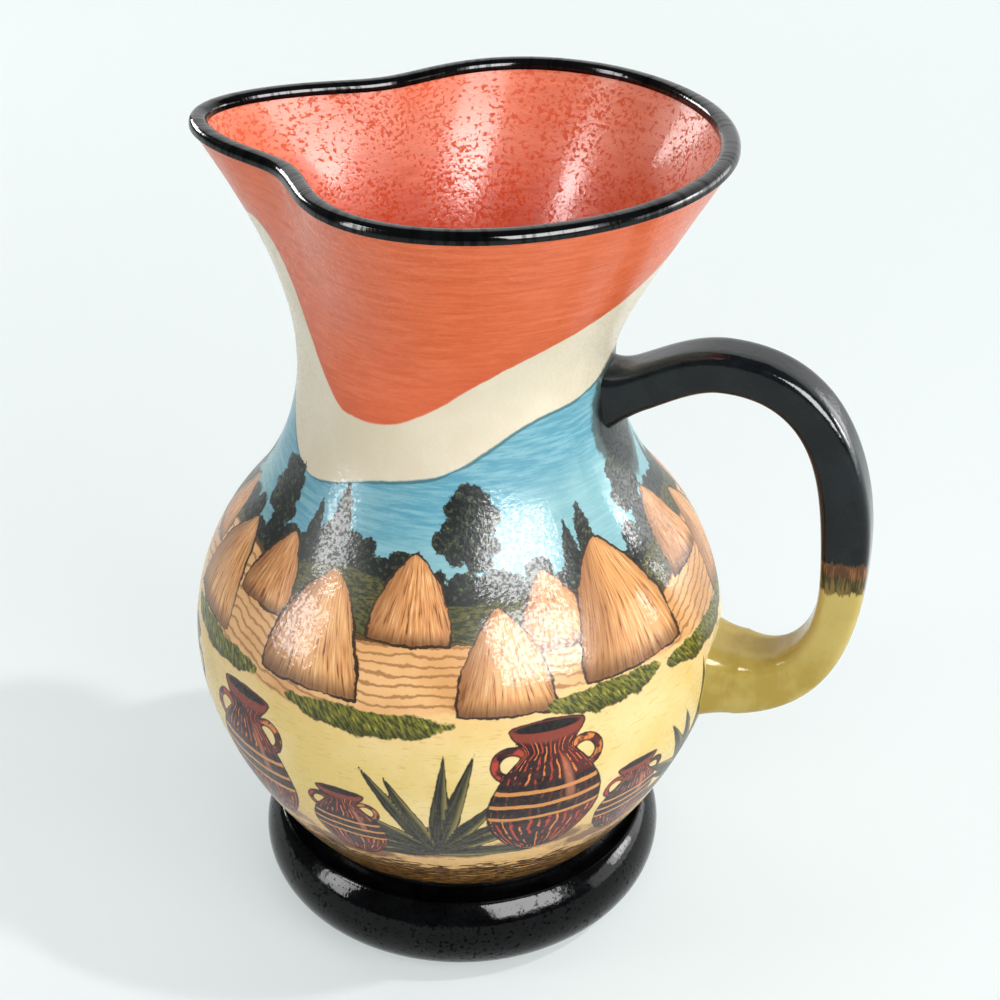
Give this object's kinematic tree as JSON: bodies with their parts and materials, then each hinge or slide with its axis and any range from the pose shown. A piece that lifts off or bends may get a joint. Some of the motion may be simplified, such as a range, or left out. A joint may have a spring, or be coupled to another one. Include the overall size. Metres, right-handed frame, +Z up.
{
  "type": "table jug",
  "caption": "Round-bellied glazed table jug on a turned foot, with a flared neck, a pulled spout, a coiled rim and a strap handle, for holding and pouring drinks.",
  "frame": {"origin": "on the jug's axis, on the plane that its foot rests on", "axes": "+Z up along the jug's axis, +X towards the handle, -X towards the spout"},
  "size_m": [0.1886, 0.15, 0.2318],
  "materials": {
    "landscape_glaze": "hand painted under a clear gloss glaze",
    "coral_glaze": "hand painted under a clear gloss glaze",
    "black_glaze": "gloss black glaze with a slight orange peel",
    "handle_glaze": "gloss, black above and olive yellow below",
    "yellow_glaze": "gloss olive-yellow glaze",
    "slip": "fired clay slip"
  },
  "bodies": {
    "root": {"foot_ring": "black_glaze", "foot_slip": "slip", "belly": "landscape_glaze", "neck_slip": "slip", "neck": "coral_glaze", "rim_bead": "black_glaze", "upper_root": "black_glaze", "upper_root_slip": "slip", "handle": "handle_glaze", "lower_root": "yellow_glaze", "lower_root_slip": "slip"}
  },
  "joints": []
}
